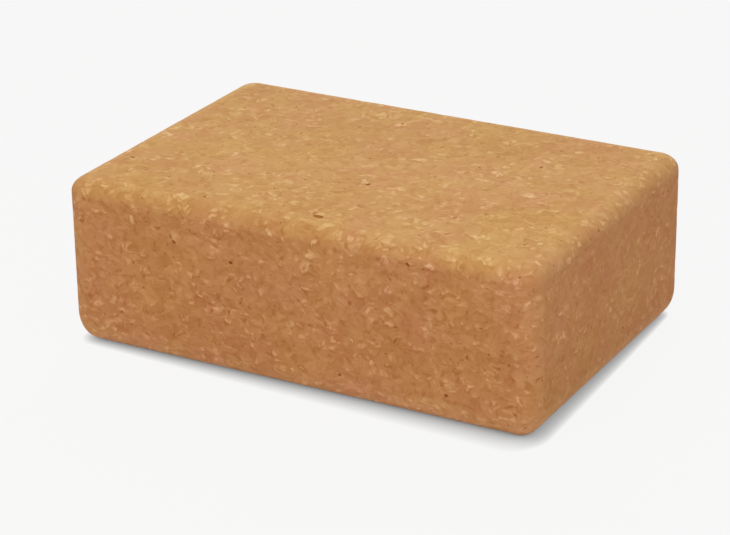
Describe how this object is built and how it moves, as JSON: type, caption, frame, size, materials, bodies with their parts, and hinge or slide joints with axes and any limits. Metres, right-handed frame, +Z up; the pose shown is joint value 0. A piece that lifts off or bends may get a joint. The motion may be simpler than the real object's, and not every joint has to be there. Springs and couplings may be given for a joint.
{
  "type": "cork yoga block",
  "caption": "Rectangular cork block with rounded edges that props a hand, foot or hip in yoga, and stands on any face.",
  "frame": {"origin": "middle of the broad face that the block rests on", "axes": "+X along the length, +Y across the width, +Z up through the thickness"},
  "size_m": [0.22, 0.15, 0.075],
  "materials": {
    "cork": "sanded matt agglomerated cork, fine granules with pale flecks and small dark pits"
  },
  "bodies": {
    "root": {"cork_block": "cork"}
  },
  "joints": []
}
